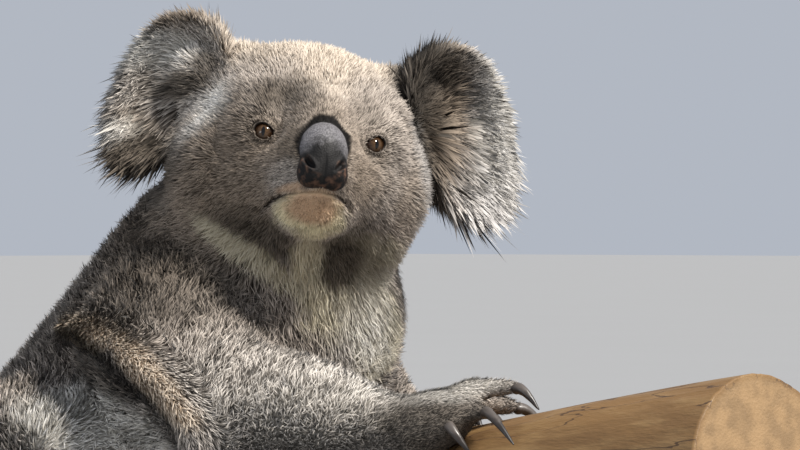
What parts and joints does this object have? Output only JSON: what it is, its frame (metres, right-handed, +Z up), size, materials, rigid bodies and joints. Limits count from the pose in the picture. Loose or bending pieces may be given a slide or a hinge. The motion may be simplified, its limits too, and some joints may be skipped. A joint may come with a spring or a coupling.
{
  "type": "koala figure",
  "caption": "Life-size still koala crouching on a short cut length of tree branch, head turned to its right, held over a flat board by two rods.",
  "frame": {"origin": "middle of the stand's underside", "axes": "+X the way the koala's body faces, up the branch; +Y the koala's left; +Z up"},
  "size_m": [0.6429, 0.2874, 0.5487],
  "materials": {
    "fur": "dense grey-brown fur",
    "ear_fur": "long pale grey fringe",
    "nose_skin": "bare leathery skin",
    "eye": "wet gloss",
    "claw": "polished horn",
    "bark": "smooth shed bark",
    "stand": "satin varnish",
    "rod": "satin"
  },
  "bodies": {
    "root": {"claw_foot_left_2": "claw", "claw_foot_left_3": "claw", "claw_foot_left_4": "claw", "claw_foot_left_5": "claw", "claw_foot_right_2": "claw", "claw_foot_right_3": "claw", "claw_foot_right_4": "claw", "claw_foot_right_5": "claw", "claw_hand_left_1": "claw", "claw_hand_left_2": "claw", "claw_hand_left_3": "claw", "claw_hand_left_4": "claw", "claw_hand_left_5": "claw", "claw_hand_right_1": "claw", "claw_hand_right_2": "claw", "claw_hand_right_3": "claw", "claw_hand_right_4": "claw", "claw_hand_right_5": "claw", "ear_left": "ear_fur", "ear_right": "ear_fur", "eye_left": "eye", "eye_right": "eye", "foot_left": "fur", "foot_right": "fur", "forearm_left": "fur", "forearm_right": "fur", "hand_left": "fur", "hand_right": "fur", "head": "fur", "neck": "fur", "nose": "nose_skin", "perch_branch": "bark", "shank_left": "fur", "shank_right": "fur", "stand_base": "stand", "stand_rod_back": "rod", "stand_rod_front": "rod", "thigh_left": "fur", "thigh_right": "fur", "trunk": "fur", "upper_arm_left": "fur", "upper_arm_right": "fur"}
  },
  "joints": []
}
